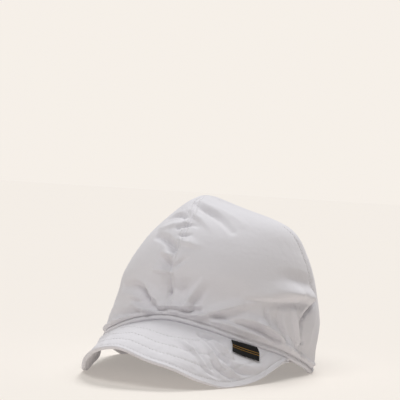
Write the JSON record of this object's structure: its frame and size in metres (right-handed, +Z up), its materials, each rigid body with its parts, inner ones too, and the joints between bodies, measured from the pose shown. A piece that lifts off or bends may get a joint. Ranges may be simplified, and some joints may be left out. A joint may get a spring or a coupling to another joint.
{
  "type": "welding cap",
  "caption": "Soft white cotton working cap with a domed four-panel crown, a stitched hem and a short quilted brim whose sides turn down.",
  "frame": {"origin": "on the surface the cap rests on, under the middle of its box", "axes": "+Z up, -Y towards the front of the brim, +X towards the wearer's left"},
  "size_m": [0.1736, 0.269, 0.1393],
  "materials": {
    "white_cotton": "matte woven cotton, softly creased",
    "black_woven": "matte dense woven tab"
  },
  "bodies": {
    "root": {"crown_front_left": "white_cotton", "crown_back_left": "white_cotton", "crown_back_right": "white_cotton", "crown_front_right": "white_cotton", "hem_band": "white_cotton", "brim": "white_cotton", "label": "black_woven"}
  },
  "joints": []
}
